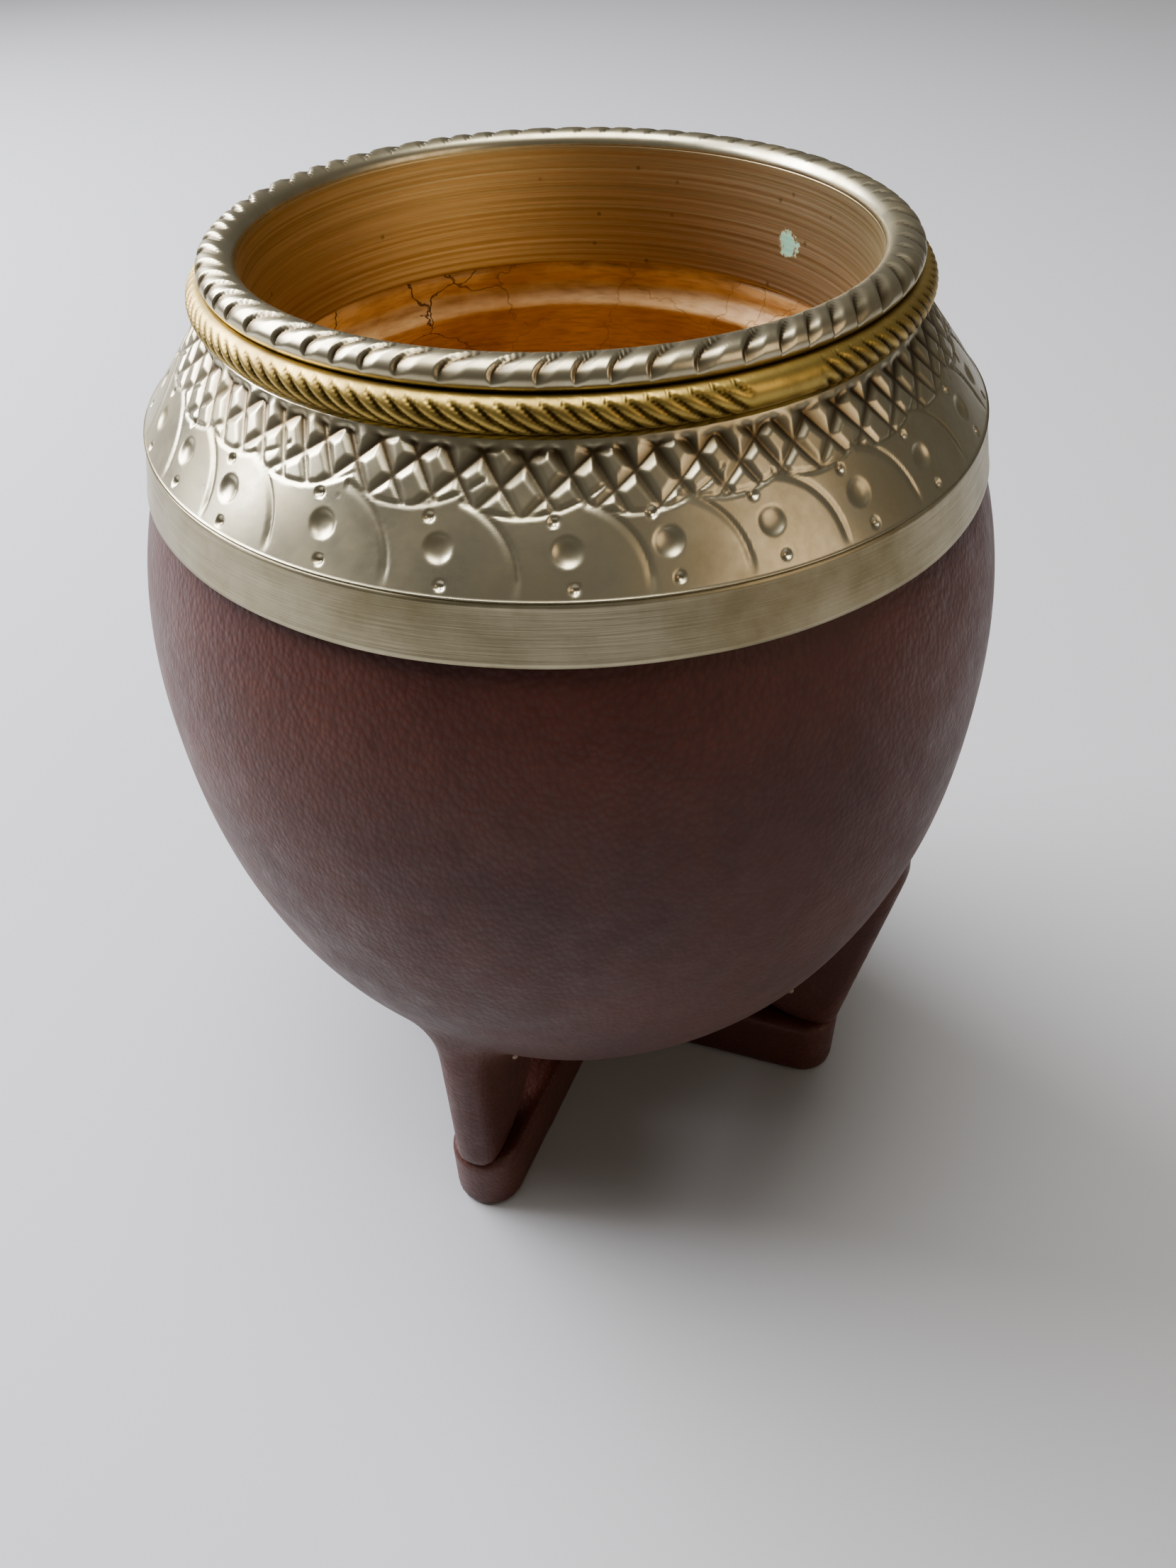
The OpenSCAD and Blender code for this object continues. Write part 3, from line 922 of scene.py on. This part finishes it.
    place_m = add(
        tree, "ShaderNodeVectorMath", {0: place_mm.outputs[0], "Scale": MM}, operation="SCALE"
    )
    tagged = add(
        tree, "GeometryNodeStoreNamedAttribute",
        {"Geometry": grid.outputs["Mesh"], "Name": "depth", "Value": depth},
        data_type="FLOAT", domain="POINT",
    )
    bent = add(
        tree, "GeometryNodeSetPosition", {"Geometry": tagged.outputs[0], "Position": place_m.outputs[0]}
    )
    joined = add(tree, "GeometryNodeMergeByDistance", {"Geometry": bent.outputs[0], "Distance": 1e-6})
    realized = add(tree, "GeometryNodeRealizeInstances", {"Geometry": joined.outputs[0]})
    dressed = add(
        tree, "GeometryNodeSetMaterial",
        {"Geometry": realized.outputs[0], "Material": given["Material"]},
    )
    add(tree, "NodeGroupOutput", {"Geometry": dressed.outputs[0]})
    return tree


def grooved_ring(name, tree, values, material):
    """A mesh object made by the grooved ring's nodes from named values."""
    maker = bpy.data.objects.new(name + "_maker", bpy.data.meshes.new(name + "_maker"))
    bpy.context.scene.collection.objects.link(maker)
    modifier = maker.modifiers.new("grooved_ring", "NODES")
    modifier.node_group = tree
    for item in tree.interface.items_tree:
        if item.in_out == "INPUT" and item.name in values:
            modifier[item.identifier] = float(values[item.name])
        if item.in_out == "INPUT" and item.name == "Material":
            modifier[item.identifier] = material
    graph = bpy.context.evaluated_depsgraph_get()
    mesh = bpy.data.meshes.new_from_object(maker.evaluated_get(graph), depsgraph=graph)
    bpy.data.objects.remove(maker)
    shell = bmesh.new()
    shell.from_mesh(mesh)
    bmesh.ops.recalc_face_normals(shell, faces=shell.faces)
    shell.to_mesh(mesh)
    shell.free()
    mesh.name = name
    return bpy.data.objects.new(name, mesh)


brass, tree = new_material("filed_yellow_brass")
# Yellow where hands rub it, brown with old polish down in the cuts.
where = add(tree, "ShaderNodeTexCoord").outputs["Object"]
cut = add(tree, "ShaderNodeAttribute", attribute_name="depth").outputs["Fac"]
patina = add(
    tree, "ShaderNodeTexNoise", {"Vector": where, "Scale": 1 / 0.005, "Detail": 6, "Roughness": 0.65}
)
patina_share = add(tree, "ShaderNodeMapRange", {"Value": patina.outputs["Fac"], 1: 0.4, 2: 0.75})
yellow = add(
    tree, "ShaderNodeMix",
    {0: patina_share.outputs[0], 6: linear("bba363"), 7: linear("877347")},
    data_type="RGBA",
)
cut_share = add(tree, "ShaderNodeMapRange", {"Value": cut, 1: 0.02, 2: 0.2, 4: 0.9})
tone = add(
    tree, "ShaderNodeMix",
    {0: cut_share.outputs[0], 6: yellow.outputs[2], 7: linear("3d2d0f")},
    data_type="RGBA",
)
gloss = add(
    tree, "ShaderNodeMapRange", {"Value": patina.outputs["Fac"], 1: 0.3, 2: 0.8, 3: 0.36, 4: 0.5}
)
finish = add(
    tree,
    "ShaderNodeBsdfPrincipled",
    {"Base Color": tone.outputs[2], "Metallic": 1.0, "Roughness": gloss.outputs[0]},
)
add(tree, "ShaderNodeOutputMaterial", {"Surface": finish.outputs[0]})

WIRE_R = 1.6
ring_nodes = grooved_ring_tree()
rope_sizes = {
    "Path Radius": 35.9, "Height": BAND_Z + 18.0, "Half Width": WIRE_R, "Half Height": WIRE_R,
    "Grooves": 129, "Groove Depth": 0.32, "Left Share": 0.22, "Right Share": 0.34, "Lean": 0.95,
    "Middle": math.radians(-14), "Reach": math.radians(82), "Wander": 0.12,
    "Joint": math.radians(-38.5), "Joint Width": math.radians(5.0),
    "Turn Steps": 2580, "Section Steps": 34,
}
rope = grooved_ring("brass_rope_ring", ring_nodes, rope_sizes, brass)
place(rope, ("rope_ring",))


# ---------------------------------------------------------------------------------------------------
# Lip: a thick nickel-silver wire, flattened, soldered round the mouth and notched with a round file,
# so that its outer half is a row of leaning petals. Its inner half is rubbed smooth by use.
# ---------------------------------------------------------------------------------------------------
lip_sizes = {
    "Path Radius": 34.05, "Height": BAND_Z + 20.6, "Half Width": 1.95, "Half Height": 1.5,
    "Grooves": 65, "First Groove": 0.5, "Groove Depth": 0.36, "Left Share": 0.1, "Right Share": 0.48,
    "Lean": -0.38, "Curl": -0.25, "Middle": math.radians(55), "Reach": math.radians(65), "Wander": 0.2,
    "Turn Steps": 2600, "Section Steps": 34,
}
lip = grooved_ring("notched_lip", ring_nodes, lip_sizes, engraved)
place(lip, ("lip",))


# ---------------------------------------------------------------------------------------------------
# Studio: a plain pale floor, a wide soft window to the left and behind, a soft ceiling light and a
# weak, warm wall to the right.
# ---------------------------------------------------------------------------------------------------
floor_half = 3
floor_corners = [(-floor_half, -floor_half, 0), (floor_half, -floor_half, 0)]
floor_corners += [(floor_half, floor_half, 0), (-floor_half, floor_half, 0)]
floor_mesh = bpy.data.meshes.new("floor")
floor_mesh.from_pydata(floor_corners, [], [(0, 1, 2, 3)])
floor = bpy.data.objects.new("floor", floor_mesh)
bpy.context.scene.collection.objects.link(floor)
paper, tree = new_material("pale_floor_paint")
finish = add(tree, "ShaderNodeBsdfPrincipled", {"Base Color": linear("acacac"), "Roughness": 0.8})
add(tree, "ShaderNodeOutputMaterial", {"Surface": finish.outputs[0]})
floor_mesh.materials.append(paper)


def soft_light(name, place_m, aim_m, width, height, power, tint):
    """A rectangular light of that size in metres, at a place and turned to a point."""
    data = bpy.data.lights.new(name, "AREA")
    data.shape = "RECTANGLE"
    data.size = width
    data.size_y = height
    data.energy = power
    data.color = linear(tint)[:3]
    light = bpy.data.objects.new(name, data)
    light.location = place_m
    light.rotation_euler = (Vector(aim_m) - Vector(place_m)).to_track_quat("-Z", "Y").to_euler()
    bpy.context.scene.collection.objects.link(light)


cup_middle = (0, 0, 0.07)
soft_light("window", (-0.75, 0.1, 0.65), cup_middle, 0.8, 0.6, 24, "f4f6ff")
soft_light("ceiling", (-0.1, 0.0, 1.2), cup_middle, 0.7, 0.7, 11, "ffffff")
soft_light("right_wall", (0.9, -0.2, 0.5), cup_middle, 0.6, 0.6, 1.5, "ffe8d0")
world = bpy.data.worlds.new("studio")
world.use_nodes = True
world.node_tree.nodes["Background"].inputs["Color"].default_value = linear("b8b4ae")
world.node_tree.nodes["Background"].inputs["Strength"].default_value = 0.34
bpy.context.scene.world = world
bpy.context.scene.view_settings.look = "AgX - Medium High Contrast"
